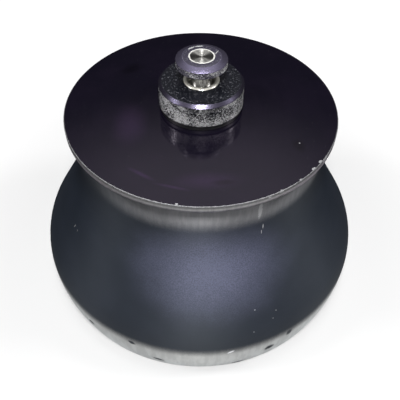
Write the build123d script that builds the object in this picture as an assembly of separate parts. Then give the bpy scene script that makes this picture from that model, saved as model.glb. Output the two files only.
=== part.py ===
"""Fixed angle centrifuge rotor for eight 50 mL tubes, with its screw-down lid.

Millimetres, +Z up. The origin is the centre of the face that the rotor stands on,
and +Z is the axis that it spins about. Each function below returns one piece of the
rotor; the last lines write every piece to parts/NAME.step.
"""
import math
import os

from build123d import *

# ---------------------------------------------------------------- outside of the body
BELLY_RADIUS = 115.0
BODY_HEIGHT = 132.5        # base to the rim that carries the lid
BELLY_HEIGHT = 26.0        # height of the widest circle above the base
BELLY_BLEND = 40.0         # radius of the round shoulder between flare and belly
DRAWN_IN = 4.0             # how much narrower the base is than the belly
NECK_HEIGHT = 21.0         # straight part under the rim
NECK_BLEND = 58.0          # radius of the hollow curve between neck and flare
MOST_BLEND = 0.97          # share of their room that the two curves may take
BASE_EDGE = 1.5
RIM_WALL = 6.5             # between the neck and the mouth of the bowl
RIM_EDGE = 0.8

# ---------------------------------------------------------------- tubes and cavities
TUBE_COUNT = 8
TUBE_ANGLE = 34.0          # tilt of each cavity from the spin axis, degrees
CAVITY_RADIUS = 14.6       # for a 50 mL tube of 28.8 mm diameter
CAVITY_LENGTH = 62.0       # from the centre of its round end to its mouth
CAVITY_WALL = 7.9          # between a cavity's round end and the belly
MOUTH_CHAMFER = 1.0
TOOL_OVERRUN = 40.0        # of the boring cutter past the mouth

# ---------------------------------------------------------------- inside of the bowl
SEAT_OUTER_MARGIN = 2.74   # of the sloping seat, outside the cavities' mouths
SEAT_INNER_MARGIN = 4.9    # and inside them
POST_DROP = 32.5           # from the rim down to the post's top face
POST_WALL = 7.0
POST_BLEND = 6.0
BOWL_BLEND = 3.0

# ---------------------------------------------------------------- underside
FOOT_WIDTH = 15.0          # of the ring that the rotor stands on
UNDERSIDE_RECESS = 3.0
SPINDLE_RADIUS = 12.0
SPINDLE_STRAIGHT = 14.0
SPINDLE_TAPER = 2.5        # how much narrower the bore is at the top of its cone
SPINDLE_CONE = 28.0
ADAPTER_WALL = 5.0
ADAPTER_FLANGE_WIDTH = 11.0
ADAPTER_FLANGE = 8.0
ADAPTER_STANDS_OUT = 1.0   # of the recess, towards the base
ADAPTER_TOP = 50.0
ADAPTER_EDGE = 0.75
SEAT_CLEARANCE = 0.02      # between pieces that are pressed or screwed together
SCREW_COUNT = 4
SCREW_START = 45.0         # heading of the first screw, degrees from +X
SCREW_INSET = 4.5          # from the adapter's sleeve to the screws' circle
SCREW_RADIUS = 2.5
SCREW_LENGTH = 22.0
SCREW_HEAD_RADIUS = 4.25
SCREW_HEAD_HEIGHT = 5.0
SCREW_HEAD_SINK = 0.4
SCREW_HEAD_EDGE = 0.4
SCREW_KEY = 4.0            # across the flats of the socket
SCREW_KEY_DEPTH = 2.5
DRIVE_PIN_RADIUS = 1.5
DRIVE_PIN_INSET = 4.0      # from the spindle's bore to the pins' circle
DRIVE_PIN_LENGTH = 7.0
DRIVE_PIN_STANDS_OUT = 1.4
SPEED_RING_GAP = 6.0       # from the adapter's flange
SPEED_RING_WIDTH = 28.0
SPEED_RING_THICK = 0.5

# ---------------------------------------------------------------- lid
LID_OVERHANG = 5.0         # past the neck
LID_THICK = 5.0
LID_EDGE = 0.6
LID_CLEARANCE = 0.8        # around the collar, inside the mouth of the body
COLLAR_WALL = 6.5
COLLAR_DEPTH = 7.0
LID_BOSS_RADIUS = 26.0
LID_BOSS_DEPTH = 4.0
SEAL_WIRE = 1.5            # radius of the lid seal's section
SEAL_GAP = 0.3             # from the free seal to the mouth of the body
GROOVE_SIDE = 0.15

# ---------------------------------------------------------------- lock screw
SHAFT_RADIUS = 6.4
SHAFT_CLEARANCE = 0.08     # in the stem and in the washer
PASSAGE_CLEARANCE = 1.0    # in the body, the adapter and the stud
SCREW_COLLAR_WIDTH = 1.2
SCREW_COLLAR_THICK = 1.6
LOCK_WASHER = 1.0
LOCK_WASHER_CLEARANCE = 0.3
THREAD_DEPTH = 1.4
THREAD_LENGTH = 18.0
THREAD_EDGE = 1.0
SCREW_END_GAP = 0.8        # from the adapter's top to the screw's lower end
HEAD_WIDTH = 1.3           # of the head, past the shaft
HEAD_RIM = 0.8
HEAD_CONE = 2.4
LOCK_KNOB_RADIUS = 15.3
LOCK_KNOB_HEIGHT = 5.9
LOCK_KNOB_GAP = 28.7       # from the lid's top face to the knob's underside
LOCK_KNOB_CHAMFER = 4.0
LOCK_KNOB_CHAMFER_DROP = 1.6
LOCK_KNOB_FOOT = 0.5
LOCK_PIN_RADIUS = 1.0
LOCK_PIN_LENGTH = 3.6
LOCK_RING_WIDTH = 2.2      # of the retaining ring, past the shaft
LOCK_RING_THICK = 1.2
LOCK_RING_GROOVE = 1.0
LOCK_RING_MOUTH = 8.6      # width of its open side
LOCK_LIFT = 8.0            # travel of the screw before its ring meets the stem
LOCK_SEAL_WIRE = 0.8

# ---------------------------------------------------------------- lid knob and its stem
KNOB_RADIUS = 26.0
KNOB_HEIGHT = 15.6
KNOB_CHAMFER = 1.8
KNOB_FOOT_CHAMFER = 0.6
KNOB_FOOT_WALL = 5.0
KNOB_DISH = 3.0            # hollow in the knob's underside
RING_THICK = 2.8           # black slip ring between knob and lid
RING_LAP = 1.0             # of the ring, inside the knob's hollow
EDGE_BREAK = 0.3
COUNTERBORE_CLEARANCE = 0.8
COUNTERBORE_DEPTH = 6.0
STEM_WALL = 2.6            # around the counterbore
STEM_PROUD = 0.5           # of the stem over the knob's top face
STEM_CLEARANCE = 0.08      # in the lid and in the thrust washer
STEM_SEAL_WIRE = 0.9
NUT_WALL = 4.2
NUT_DEPTH = 22.0           # of the stem's hollow over the stud
NUT_EDGE = 0.8
THRUST_WASHER_WIDTH = 3.5  # past the nut
THRUST_WASHER = 1.0
STUD_WALL = 2.6
STUD_CLEARANCE = 0.3       # stands in for the thread between stem and stud
STUD_LENGTH = 12.0         # over the post
STUD_ROOT = 14.0           # length that is screwed into the post
STUD_COLLAR_WIDTH = 3.0
STUD_COLLAR = 2.0
PIN_COUNT = 2
KNOB_PIN_RADIUS = 1.5
KNOB_PIN_LENGTH = 8.0

SAME = 1e-4                # largest difference of two places that count as the same

# ---------------------------------------------------------------- worked-out radii
lean = math.radians(TUBE_ANGLE)
bottom_radius = BELLY_RADIUS - CAVITY_WALL - CAVITY_RADIUS
mouth_centre_radius = bottom_radius - CAVITY_LENGTH * math.sin(lean)
mouth_reach = (CAVITY_RADIUS + MOUTH_CHAMFER) * math.cos(lean)
mouth_radius = mouth_centre_radius + mouth_reach + SEAT_OUTER_MARGIN
floor_radius = mouth_centre_radius - mouth_reach - SEAT_INNER_MARGIN
neck_radius = mouth_radius + RIM_WALL
base_radius = BELLY_RADIUS - DRAWN_IN
foot_inner_radius = base_radius - FOOT_WIDTH

lid_radius = neck_radius + LID_OVERHANG
lid_collar_radius = mouth_radius - LID_CLEARANCE
seal_ring_radius = mouth_radius - SEAL_GAP - SEAL_WIRE

screw_passage = SHAFT_RADIUS + PASSAGE_CLEARANCE
shaft_bore = SHAFT_RADIUS + SHAFT_CLEARANCE
screw_collar_radius = SHAFT_RADIUS + SCREW_COLLAR_WIDTH
counterbore_radius = screw_collar_radius + COUNTERBORE_CLEARANCE
lock_washer_radius = counterbore_radius - LOCK_WASHER_CLEARANCE
stem_radius = counterbore_radius + STEM_WALL
stem_hole = stem_radius + STEM_CLEARANCE
head_radius = SHAFT_RADIUS + HEAD_WIDTH
lock_ring_floor = SHAFT_RADIUS - LOCK_RING_GROOVE
knob_dish_radius = KNOB_RADIUS - KNOB_FOOT_WALL
ring_radius = KNOB_RADIUS - KNOB_FOOT_CHAMFER
ring_bore = knob_dish_radius - RING_LAP

stud_radius = screw_passage + STUD_WALL
stud_collar_radius = stud_radius + STUD_COLLAR_WIDTH
post_radius = stud_radius + POST_WALL
nut_hollow_radius = stud_radius + STUD_CLEARANCE
nut_radius = nut_hollow_radius + NUT_WALL

adapter_sleeve_radius = SPINDLE_RADIUS + ADAPTER_WALL
adapter_flange_radius = adapter_sleeve_radius + ADAPTER_FLANGE_WIDTH
screw_circle = adapter_sleeve_radius + SCREW_INSET
drive_pin_circle = SPINDLE_RADIUS + DRIVE_PIN_INSET

# ---------------------------------------------------------------- worked-out heights
mouth_centre_height = BELLY_HEIGHT + CAVITY_LENGTH * math.cos(lean)
floor_height = mouth_centre_height - (mouth_centre_radius - floor_radius) * math.tan(lean)
slope_top_height = mouth_centre_height + (mouth_radius - mouth_centre_radius) * math.tan(lean)
neck_end = BODY_HEIGHT - NECK_HEIGHT

lid_top = BODY_HEIGHT + LID_THICK
seal_height = BODY_HEIGHT - COLLAR_DEPTH / 2
boss_bottom = BODY_HEIGHT - LID_BOSS_DEPTH

knob_bottom = lid_top + RING_THICK
knob_top = knob_bottom + KNOB_HEIGHT
stem_top = knob_top + STEM_PROUD
counterbore_floor = stem_top - COUNTERBORE_DEPTH
stem_seal_height = BODY_HEIGHT + LID_THICK / 2

post_top = BODY_HEIGHT - POST_DROP
stud_bottom = post_top - STUD_ROOT
stud_top = post_top + STUD_LENGTH
nut_bottom = post_top + STUD_COLLAR
nut_hollow_top = nut_bottom + NUT_DEPTH
nut_top = boss_bottom - THRUST_WASHER

screw_collar_bottom = counterbore_floor + LOCK_WASHER
lock_knob_bottom = lid_top + LOCK_KNOB_GAP
lock_knob_top = lock_knob_bottom + LOCK_KNOB_HEIGHT
lock_ring_top = nut_hollow_top - LOCK_LIFT
lock_seal_height = (nut_hollow_top + counterbore_floor) / 2
screw_end = ADAPTER_TOP + SCREW_END_GAP

adapter_bottom = UNDERSIDE_RECESS - ADAPTER_STANDS_OUT
adapter_seat = adapter_bottom + ADAPTER_FLANGE


def turned(outline):
    """Solid of revolution about the spin axis from a closed outline in radius and height."""
    return revolve(make_face(outline), Axis.Z)


def turned_section(points):
    """Solid of revolution from the straight-sided section through the given points."""
    flat = [(radius, 0, height) for radius, height in points]
    return turned(Polyline(*flat, close=True))


def ring(inner, outer, bottom, top):
    """Plain ring, or a disc where inner is 0, between two heights."""
    return turned_section([(inner, bottom), (outer, bottom), (outer, top), (inner, top)])


def peg(radius, length):
    """Round peg that stands on the origin, for pins, shanks and the holes that they fill."""
    return Cylinder(radius, length, align=(Align.CENTER, Align.CENTER, Align.MIN))


def edges_at(solid, height, radius):
    """Circular edges of a turned solid at one height and one radius."""
    found = []
    for edge in solid.edges().filter_by(GeomType.CIRCLE):
        on_axis = abs(edge.arc_center.X) < SAME
        at_height = abs(edge.arc_center.Z - height) < SAME
        if on_axis and at_height and abs(edge.radius - radius) < SAME:
            found.append(edge)
    return found


def around(count, start=0.0):
    """Headings of equally spaced repeats, in degrees from +X."""
    return [start + 360.0 / count * i for i in range(count)]


def on_circle(radius, heading, height):
    """Place on a circle about the spin axis."""
    angle = math.radians(heading)
    return (radius * math.cos(angle), radius * math.sin(angle), height)


def outside_curves():
    """Radii of the hollow curve and of the shoulder, and the angle of the flare that touches both."""
    wider = BELLY_RADIUS - neck_radius
    higher = neck_end - BELLY_HEIGHT
    # A flare that touches both curves needs their radii to add up to no more than this.
    room = (wider ** 2 + higher ** 2) / (2 * wider)
    share = min(1.0, room / (NECK_BLEND + BELLY_BLEND) * MOST_BLEND)
    neck_blend = NECK_BLEND * share
    belly_blend = BELLY_BLEND * share
    across = neck_blend + belly_blend - wider
    between_centres = math.hypot(across, higher)
    flare = math.atan2(higher, across) + math.asin((neck_blend + belly_blend) / between_centres) - math.pi / 2
    return neck_blend, belly_blend, flare


def body_outline():
    """Half section of the body: neck, hollow curve, flare, belly, foot, underside and bowl."""
    neck_blend, belly_blend, flare = outside_curves()

    def on_hollow(angle):
        out_from_neck = neck_blend * (1 - math.cos(angle))
        return (neck_radius + out_from_neck, neck_end - neck_blend * math.sin(angle))

    def on_shoulder(angle):
        in_from_widest = belly_blend * (1 - math.cos(angle))
        return (BELLY_RADIUS - in_from_widest, BELLY_HEIGHT + belly_blend * math.sin(angle))

    # Below the widest circle one arc draws the wall in to the base.
    lower_blend = (BELLY_HEIGHT ** 2 + DRAWN_IN ** 2) / (2 * DRAWN_IN)
    half_turn = math.asin(BELLY_HEIGHT / lower_blend) / 2
    lower_mid = (
        BELLY_RADIUS - lower_blend * (1 - math.cos(half_turn)),
        BELLY_HEIGHT - lower_blend * math.sin(half_turn),
    )
    widest = (BELLY_RADIUS, BELLY_HEIGHT)
    base_edge = (base_radius, 0.0)

    def at(point):
        return (point[0], 0, point[1])

    rim = Polyline(
        at((mouth_radius, BODY_HEIGHT)),
        at((neck_radius, BODY_HEIGHT)),
        at((neck_radius, neck_end)),
    )
    hollow = ThreePointArc(at((neck_radius, neck_end)), at(on_hollow(flare / 2)), at(on_hollow(flare)))
    cone = Line(at(on_hollow(flare)), at(on_shoulder(flare)))
    belly = ThreePointArc(at(on_shoulder(flare)), at(on_shoulder(flare / 2)), at(widest))
    lower = ThreePointArc(at(widest), at(lower_mid), at(base_edge))
    inside = Polyline(
        at(base_edge),
        at((foot_inner_radius, 0)),
        at((foot_inner_radius - UNDERSIDE_RECESS, UNDERSIDE_RECESS)),
        at((adapter_flange_radius + SEAT_CLEARANCE, UNDERSIDE_RECESS)),
        at((adapter_flange_radius + SEAT_CLEARANCE, adapter_seat)),
        at((adapter_sleeve_radius + SEAT_CLEARANCE, adapter_seat)),
        at((adapter_sleeve_radius + SEAT_CLEARANCE, ADAPTER_TOP + SEAT_CLEARANCE)),
        at((screw_passage, ADAPTER_TOP + SEAT_CLEARANCE)),
        at((screw_passage, stud_bottom - SEAT_CLEARANCE)),
        at((stud_radius + SEAT_CLEARANCE, stud_bottom - SEAT_CLEARANCE)),
        at((stud_radius + SEAT_CLEARANCE, post_top)),
        at((post_radius, post_top)),
        at((post_radius, floor_height)),
        at((floor_radius, floor_height)),
        at((mouth_radius, slope_top_height)),
        at((mouth_radius, BODY_HEIGHT)),
    )
    return rim + hollow + cone + belly + lower + inside


def cavity_tool():
    """Cutter for one tube cavity on the +X side: round end, straight wall, chamfered mouth."""
    flared = CAVITY_RADIUS + MOUTH_CHAMFER
    reach = CAVITY_LENGTH + TOOL_OVERRUN
    wall = Polyline(
        (0, 0, reach),
        (flared, 0, reach),
        (flared, 0, CAVITY_LENGTH),
        (CAVITY_RADIUS, 0, CAVITY_LENGTH - MOUTH_CHAMFER),
        (CAVITY_RADIUS, 0, 0),
    )
    half = CAVITY_RADIUS * math.sqrt(0.5)
    round_end = ThreePointArc((CAVITY_RADIUS, 0, 0), (half, 0, -half), (0, 0, -CAVITY_RADIUS))
    axis = Line((0, 0, -CAVITY_RADIUS), (0, 0, reach))
    return Pos(bottom_radius, 0, BELLY_HEIGHT) * Rot(0, -TUBE_ANGLE, 0) * turned(wall + round_end + axis)


def screw_place(heading):
    """Place of one adapter screw's head face, the screw pointing up."""
    return Pos(*on_circle(screw_circle, heading, adapter_bottom))


def rotor_body():
    """Body turned from one aluminium forging, bored for the tubes, the stud and the adapter."""
    body = turned(body_outline())
    body = fillet(edges_at(body, floor_height, post_radius), POST_BLEND)
    body = fillet(edges_at(body, slope_top_height, mouth_radius), BOWL_BLEND)
    body = chamfer(edges_at(body, BODY_HEIGHT, neck_radius), RIM_EDGE)
    body = chamfer(edges_at(body, BODY_HEIGHT, mouth_radius), RIM_EDGE)
    body = chamfer(edges_at(body, 0, base_radius), BASE_EDGE)
    tool = cavity_tool()
    tools = [Rot(0, 0, heading) * tool for heading in around(TUBE_COUNT)]
    hole_depth = SCREW_HEAD_SINK + SCREW_HEAD_HEIGHT + SCREW_LENGTH - ADAPTER_FLANGE
    hole = peg(SCREW_RADIUS + SEAT_CLEARANCE, hole_depth)
    for heading in around(SCREW_COUNT, SCREW_START):
        tools.append(Pos(*on_circle(screw_circle, heading, adapter_seat)) * hole)
    return body - tools


def spindle_adapter():
    """Steel hub pressed in from below, with the straight and tapered bore for the drive spindle."""
    cone_top = adapter_bottom + SPINDLE_STRAIGHT + SPINDLE_CONE
    hub = turned_section([
        (SPINDLE_RADIUS, adapter_bottom),
        (adapter_flange_radius, adapter_bottom),
        (adapter_flange_radius, adapter_seat),
        (adapter_sleeve_radius, adapter_seat),
        (adapter_sleeve_radius, ADAPTER_TOP),
        (screw_passage, ADAPTER_TOP),
        (screw_passage, cone_top),
        (SPINDLE_RADIUS - SPINDLE_TAPER, cone_top),
        (SPINDLE_RADIUS, adapter_bottom + SPINDLE_STRAIGHT),
    ])
    hub = chamfer(edges_at(hub, adapter_bottom, adapter_flange_radius), ADAPTER_EDGE)
    tools = []
    for heading in around(SCREW_COUNT, SCREW_START):
        shank_hole = peg(SCREW_RADIUS + SEAT_CLEARANCE, ADAPTER_FLANGE)
        head_hole = peg(SCREW_HEAD_RADIUS + SEAT_CLEARANCE, SCREW_HEAD_SINK + SCREW_HEAD_HEIGHT)
        tools.append(screw_place(heading) * (shank_hole + head_hole))
    for heading in around(PIN_COUNT):
        place = Pos(*on_circle(drive_pin_circle, heading, adapter_bottom))
        depth = DRIVE_PIN_LENGTH - DRIVE_PIN_STANDS_OUT
        pin_hole = peg(DRIVE_PIN_RADIUS, depth)
        tools.append(place * pin_hole)
    return hub - tools


def adapter_screws():
    """Socket head cap screws that hold the adapter's flange to the body."""
    head = peg(SCREW_HEAD_RADIUS, SCREW_HEAD_HEIGHT)
    head = chamfer(head.edges().group_by(Axis.Z)[0], SCREW_HEAD_EDGE)
    key = extrude(RegularPolygon(SCREW_KEY / 2, 6, major_radius=False), SCREW_KEY_DEPTH)
    shank = Pos(0, 0, SCREW_HEAD_HEIGHT) * peg(SCREW_RADIUS, SCREW_LENGTH)
    screw = Pos(0, 0, SCREW_HEAD_SINK) * (head - key + shank)
    return Compound(children=[screw_place(heading) * screw for heading in around(SCREW_COUNT, SCREW_START)])


def drive_pins():
    """Dowels in the adapter's face that the spindle's own pins push against."""
    pin = peg(DRIVE_PIN_RADIUS, DRIVE_PIN_LENGTH)
    pin = chamfer(pin.edges().group_by(Axis.Z)[0], EDGE_BREAK)
    low = adapter_bottom - DRIVE_PIN_STANDS_OUT
    places = [Pos(*on_circle(drive_pin_circle, heading, low)) for heading in around(PIN_COUNT)]
    return Compound(children=[place * pin for place in places])


def speed_ring():
    """Thin ring on the underside that the drive's speed sensor reads."""
    inner = adapter_flange_radius + SPEED_RING_GAP
    return ring(inner, inner + SPEED_RING_WIDTH, UNDERSIDE_RECESS - SPEED_RING_THICK, UNDERSIDE_RECESS)


def lid_stud():
    """Hollow threaded stud in the post, which the lid's stem screws down on."""
    stud = turned_section([
        (screw_passage, stud_bottom),
        (stud_radius, stud_bottom),
        (stud_radius, post_top),
        (stud_collar_radius, post_top),
        (stud_collar_radius, nut_bottom - STUD_CLEARANCE),
        (stud_radius, nut_bottom - STUD_CLEARANCE),
        (stud_radius, stud_top),
        (screw_passage, stud_top),
    ])
    return chamfer(edges_at(stud, stud_top, stud_radius), NUT_EDGE)


def lid_plate():
    """Flat round lid, with a grooved collar that drops into the body and a boss for the stem."""
    groove = SEAL_WIRE + GROOVE_SIDE
    groove_floor = seal_ring_radius - SEAL_WIRE
    lid = turned_section([
        (stem_hole, lid_top),
        (lid_radius, lid_top),
        (lid_radius, BODY_HEIGHT),
        (lid_collar_radius, BODY_HEIGHT),
        (lid_collar_radius, seal_height + groove),
        (groove_floor, seal_height + groove),
        (groove_floor, seal_height - groove),
        (lid_collar_radius, seal_height - groove),
        (lid_collar_radius, BODY_HEIGHT - COLLAR_DEPTH),
        (lid_collar_radius - COLLAR_WALL, BODY_HEIGHT - COLLAR_DEPTH),
        (lid_collar_radius - COLLAR_WALL, BODY_HEIGHT),
        (LID_BOSS_RADIUS, BODY_HEIGHT),
        (LID_BOSS_RADIUS, boss_bottom),
        (stem_hole, boss_bottom),
    ])
    lid = chamfer(edges_at(lid, lid_top, lid_radius), LID_EDGE)
    lid = chamfer(edges_at(lid, BODY_HEIGHT, lid_radius), LID_EDGE)
    lid = fillet(edges_at(lid, BODY_HEIGHT, LID_BOSS_RADIUS), BOWL_BLEND)
    lid = fillet(edges_at(lid, BODY_HEIGHT, lid_collar_radius - COLLAR_WALL), BOWL_BLEND)
    return chamfer(edges_at(lid, BODY_HEIGHT - COLLAR_DEPTH, lid_collar_radius), RIM_EDGE)


def lid_seal():
    """Rubber ring in the collar's groove, which seals the lid in the mouth of the body."""
    return Pos(0, 0, seal_height) * Torus(seal_ring_radius, SEAL_WIRE)


def knob_pin_places(radius, bottom):
    """Places of the pins that lie half in a knob and half in what it drives."""
    return [Pos(*on_circle(radius, heading, bottom)) for heading in around(PIN_COUNT)]


def lid_stem():
    """Steel stem of the lid knob: a sleeve through the lid with its nut below."""
    groove = STEM_SEAL_WIRE + GROOVE_SIDE
    groove_floor = stem_radius - 2 * STEM_SEAL_WIRE
    stem = turned_section([
        (counterbore_radius, stem_top),
        (stem_radius, stem_top),
        (stem_radius, stem_seal_height + groove),
        (groove_floor, stem_seal_height + groove),
        (groove_floor, stem_seal_height - groove),
        (stem_radius, stem_seal_height - groove),
        (stem_radius, nut_top),
        (nut_radius, nut_top),
        (nut_radius, nut_bottom),
        (nut_hollow_radius, nut_bottom),
        (nut_hollow_radius, nut_hollow_top),
        (shaft_bore, nut_hollow_top),
        (shaft_bore, counterbore_floor),
        (counterbore_radius, counterbore_floor),
    ])
    stem = chamfer(edges_at(stem, nut_bottom, nut_radius), NUT_EDGE)
    stem = chamfer(edges_at(stem, nut_bottom, nut_hollow_radius), NUT_EDGE)
    stem = chamfer(edges_at(stem, stem_top, stem_radius), EDGE_BREAK)
    pin_hole = peg(KNOB_PIN_RADIUS, KNOB_PIN_LENGTH)
    return stem - [place * pin_hole for place in knob_pin_places(stem_radius, knob_bottom + KNOB_DISH)]


def lid_knob():
    """Large hand knob of the lid, fixed on the stem."""
    knob = turned_section([
        (stem_radius, knob_bottom + KNOB_DISH),
        (knob_dish_radius, knob_bottom + KNOB_DISH),
        (knob_dish_radius, knob_bottom),
        (KNOB_RADIUS, knob_bottom),
        (KNOB_RADIUS, knob_top),
        (stem_radius, knob_top),
    ])
    knob = chamfer(edges_at(knob, knob_top, KNOB_RADIUS), KNOB_CHAMFER)
    knob = chamfer(edges_at(knob, knob_bottom, KNOB_RADIUS), KNOB_FOOT_CHAMFER)
    pin_hole = peg(KNOB_PIN_RADIUS, KNOB_PIN_LENGTH)
    return knob - [place * pin_hole for place in knob_pin_places(stem_radius, knob_bottom + KNOB_DISH)]


def knob_pins():
    """Pins driven in from below along the joint of knob and stem, so that they turn together."""
    pin = peg(KNOB_PIN_RADIUS, KNOB_PIN_LENGTH)
    places = knob_pin_places(stem_radius, knob_bottom + KNOB_DISH)
    return Compound(children=[place * pin for place in places])


def slip_ring():
    """Black ring between the foot of the lid knob and the lid."""
    shape = turned_section([
        (ring_bore, lid_top),
        (ring_radius, lid_top),
        (ring_radius, knob_bottom),
        (ring_bore, knob_bottom),
    ])
    return chamfer(edges_at(shape, lid_top, ring_radius), EDGE_BREAK)


def thrust_washer():
    """Bearing washer between the stem's nut and the boss under the lid."""
    return ring(stem_hole, nut_radius + THRUST_WASHER_WIDTH, nut_top, boss_bottom)


def stem_seal():
    """Rubber ring in the stem's groove, inside the hole of the lid."""
    return Pos(0, 0, stem_seal_height) * Torus(stem_radius - STEM_SEAL_WIRE, STEM_SEAL_WIRE)


def lock_pin_places():
    """Places of the pins that lie half in the lock knob and half in the screw's head."""
    return knob_pin_places(head_radius, lock_knob_bottom)


def lock_screw():
    """Long steel screw through the lid and the body, which bolts the rotor to the drive spindle."""
    ring_bottom = lock_ring_top - LOCK_RING_THICK
    groove = LOCK_SEAL_WIRE + GROOVE_SIDE
    groove_floor = SHAFT_RADIUS - 2 * LOCK_SEAL_WIRE
    screw = turned_section([
        (0, lock_knob_top - HEAD_CONE),
        (head_radius - HEAD_RIM, lock_knob_top),
        (head_radius, lock_knob_top),
        (head_radius, lock_knob_bottom),
        (SHAFT_RADIUS, lock_knob_bottom),
        (SHAFT_RADIUS, screw_collar_bottom + SCREW_COLLAR_THICK),
        (screw_collar_radius, screw_collar_bottom + SCREW_COLLAR_THICK),
        (screw_collar_radius, screw_collar_bottom),
        (SHAFT_RADIUS, screw_collar_bottom),
        (SHAFT_RADIUS, lock_seal_height + groove),
        (groove_floor, lock_seal_height + groove),
        (groove_floor, lock_seal_height - groove),
        (SHAFT_RADIUS, lock_seal_height - groove),
        (SHAFT_RADIUS, lock_ring_top),
        (lock_ring_floor, lock_ring_top),
        (lock_ring_floor, ring_bottom),
        (SHAFT_RADIUS, ring_bottom),
        (SHAFT_RADIUS, screw_end + THREAD_LENGTH),
        (SHAFT_RADIUS - THREAD_DEPTH, screw_end + THREAD_LENGTH - THREAD_DEPTH),
        (SHAFT_RADIUS - THREAD_DEPTH, screw_end + THREAD_EDGE),
        (SHAFT_RADIUS - THREAD_DEPTH - THREAD_EDGE, screw_end),
        (0, screw_end),
    ])
    pin_hole = peg(LOCK_PIN_RADIUS, LOCK_PIN_LENGTH)
    return screw - [place * pin_hole for place in lock_pin_places()]


def lock_knob():
    """Small hand knob fixed on the head of the lock screw."""
    knob = turned_section([
        (head_radius, lock_knob_bottom),
        (LOCK_KNOB_RADIUS - LOCK_KNOB_FOOT, lock_knob_bottom),
        (LOCK_KNOB_RADIUS, lock_knob_bottom + LOCK_KNOB_FOOT),
        (LOCK_KNOB_RADIUS, lock_knob_top - LOCK_KNOB_CHAMFER_DROP),
        (LOCK_KNOB_RADIUS - LOCK_KNOB_CHAMFER, lock_knob_top),
        (head_radius, lock_knob_top),
    ])
    pin_hole = peg(LOCK_PIN_RADIUS, LOCK_PIN_LENGTH)
    return knob - [place * pin_hole for place in lock_pin_places()]


def lock_pins():
    """Pins along the joint of the lock knob and the screw's head."""
    pin = peg(LOCK_PIN_RADIUS, LOCK_PIN_LENGTH)
    return Compound(children=[place * pin for place in lock_pin_places()])


def lock_washer():
    """Washer under the screw's collar, on the floor of the stem's counterbore."""
    return ring(shaft_bore, lock_washer_radius, counterbore_floor, screw_collar_bottom)


def lock_ring():
    """Open retaining ring in the screw's groove, which keeps the screw with the lid."""
    outer = SHAFT_RADIUS + LOCK_RING_WIDTH
    bottom = lock_ring_top - LOCK_RING_THICK
    full = ring(lock_ring_floor, outer, bottom, lock_ring_top)
    mouth = Pos(outer / 2, 0, bottom) * Box(
        outer, LOCK_RING_MOUTH, LOCK_RING_THICK, align=(Align.CENTER, Align.CENTER, Align.MIN)
    )
    return full - mouth


def lock_seal():
    """Rubber ring in the screw's groove, inside the bore of the stem."""
    return Pos(0, 0, lock_seal_height) * Torus(SHAFT_RADIUS - LOCK_SEAL_WIRE, LOCK_SEAL_WIRE)


PIECES = [
    rotor_body,
    spindle_adapter,
    adapter_screws,
    drive_pins,
    speed_ring,
    lid_stud,
    lid_plate,
    lid_seal,
    lid_stem,
    lid_knob,
    knob_pins,
    slip_ring,
    thrust_washer,
    stem_seal,
    lock_screw,
    lock_knob,
    lock_pins,
    lock_washer,
    lock_ring,
    lock_seal,
]

os.makedirs("parts", exist_ok=True)
for piece in PIECES:
    export_step(piece(), "parts/" + piece.__name__ + ".step")
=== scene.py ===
"""Looks of a used fixed angle rotor: its finishes, knurls, threads and wear, in a pale studio.

The CAD frame gives the pieces their places and sizes. Lengths below are in millimetres, and
mm() turns them into Blender's metres. Each sub-assembly is a class that builds its pieces.
"""
import logging
import math
from dataclasses import dataclass, field
from enum import Enum
from functools import cached_property, partial, reduce
from typing import Sequence

import bmesh
import bpy
from mathutils import Euler, Matrix, Vector

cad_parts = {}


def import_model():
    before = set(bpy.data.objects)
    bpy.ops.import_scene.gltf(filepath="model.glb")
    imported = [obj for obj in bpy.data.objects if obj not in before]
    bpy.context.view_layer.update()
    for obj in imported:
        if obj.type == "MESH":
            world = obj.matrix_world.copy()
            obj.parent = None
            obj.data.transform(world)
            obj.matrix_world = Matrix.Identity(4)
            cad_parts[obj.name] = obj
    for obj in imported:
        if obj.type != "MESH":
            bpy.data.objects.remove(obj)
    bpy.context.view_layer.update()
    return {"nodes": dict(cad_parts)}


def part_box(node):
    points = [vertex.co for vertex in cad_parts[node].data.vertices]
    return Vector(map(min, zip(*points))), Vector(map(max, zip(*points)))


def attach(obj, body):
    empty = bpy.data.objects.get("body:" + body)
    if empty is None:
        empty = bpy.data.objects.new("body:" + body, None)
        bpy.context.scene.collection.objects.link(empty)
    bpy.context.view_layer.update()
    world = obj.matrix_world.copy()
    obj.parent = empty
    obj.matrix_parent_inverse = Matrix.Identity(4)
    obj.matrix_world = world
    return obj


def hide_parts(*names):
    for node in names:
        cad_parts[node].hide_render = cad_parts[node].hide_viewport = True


LOG = logging.getLogger("rotor")
Colour = tuple[float, float, float]
Socket = bpy.types.NodeSocket
Value = float | Socket
Outline = Sequence[tuple[float, float]]
# Turn of the anisotropy, in whole turns, that stretches highlights across the tool marks.
ACROSS_TOOL_MARKS = 0.25
# How far noise pushes a mark's outline in and out, as a share of the mark's size.
RAGGED_REACH = 1.1
BARE_METAL: Colour = (0.8, 0.8, 0.82)


def mm(length: float) -> float:
    """Millimetres in metres."""
    return length / 1000.0


def grey(level: float) -> Colour:
    """Neutral colour of one linear level."""
    return (level, level, level)


def scaled(colour: Colour, share: float) -> Colour:
    """Colour with each channel times a share."""
    return tuple(channel * share for channel in colour)


class Slot(Enum):
    """Names of the record's material slots."""

    BODY = "anodised_body"
    LID = "anodised_lid"
    KNOB = "anodised_knob"
    LOCK_KNOB = "anodised_lock_knob"
    STEEL = "bright_steel"
    SCREW = "screw_steel"
    BRONZE = "bronze"
    RUBBER = "seal_rubber"
    PLASTIC = "black_plastic"
    FILM = "speed_ring_film"


# --------------------------------------------------------------------- shader graphs


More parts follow.
